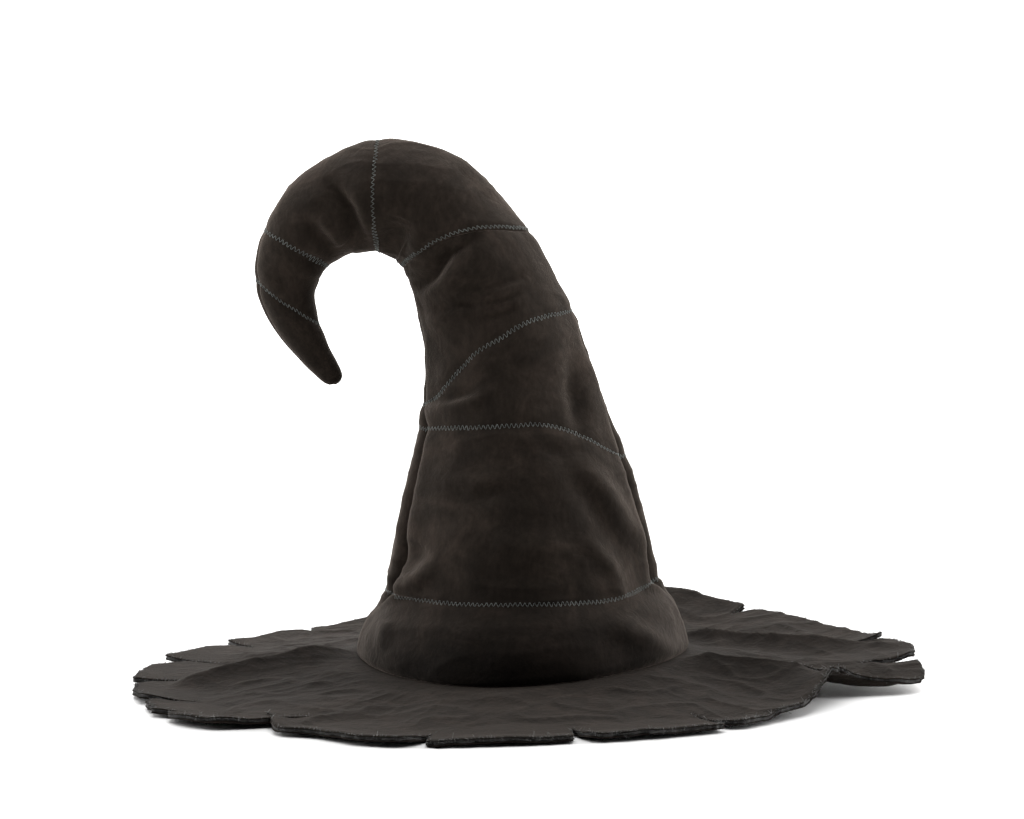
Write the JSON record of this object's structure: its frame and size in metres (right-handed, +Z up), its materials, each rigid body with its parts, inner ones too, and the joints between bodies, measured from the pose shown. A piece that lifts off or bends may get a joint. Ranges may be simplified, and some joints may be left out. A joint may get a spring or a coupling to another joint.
{
  "type": "witch hat",
  "caption": "Wide-brimmed witch hat of dark suede, with a stuffed crown in zigzag-stitched bands that curls over to one side and a ragged, slit felt-filled brim.",
  "frame": {"origin": "on the surface that the brim rests on, under the middle of the head opening", "axes": "+Z up, -Y to the hat's front, -X to the side that the tip curls towards"},
  "size_m": [0.4876, 0.4829, 0.3382],
  "materials": {
    "suede": "matte",
    "felt": "matte",
    "thread": "matte",
    "tape": "matte",
    "lining_cloth": "satin",
    "stuffing": "matte"
  },
  "bodies": {
    "crown": {"band_1_front": "suede", "band_1_back": "suede", "band_2_front": "suede", "band_2_back": "suede", "band_3_front": "suede", "band_3_back": "suede", "band_4_front": "suede", "band_4_back": "suede", "zigzag_1": "thread", "zigzag_2": "thread", "zigzag_3": "thread", "crown_right_seam_thread": "thread", "crown_left_seam_thread": "thread", "brim_top": "suede", "brim_felt": "felt", "brim_underside": "suede", "brim_seam_thread": "thread", "sweatband": "tape", "sweatband_thread": "thread", "lining": "lining_cloth", "crown_stuffing": "stuffing"},
    "hook": {"band_5_front": "suede", "band_5_back": "suede", "band_6_front": "suede", "band_6_back": "suede", "band_7_front": "suede", "band_7_back": "suede", "tip_front": "suede", "tip_back": "suede", "zigzag_4": "thread", "zigzag_5": "thread", "zigzag_6": "thread", "zigzag_7": "thread", "hook_top_seam_thread": "thread", "hook_under_seam_thread": "thread", "hook_stuffing": "stuffing"}
  },
  "joints": [
    {"name": "hook_nod", "type": "hinge", "parent": "crown", "child": "hook", "pos_m": [-0.0166, 0, 0.1986], "axis": [0, -1, 0], "range_deg": [-8, 12], "stiffness_Nm_per_rad": 3}
  ]
}
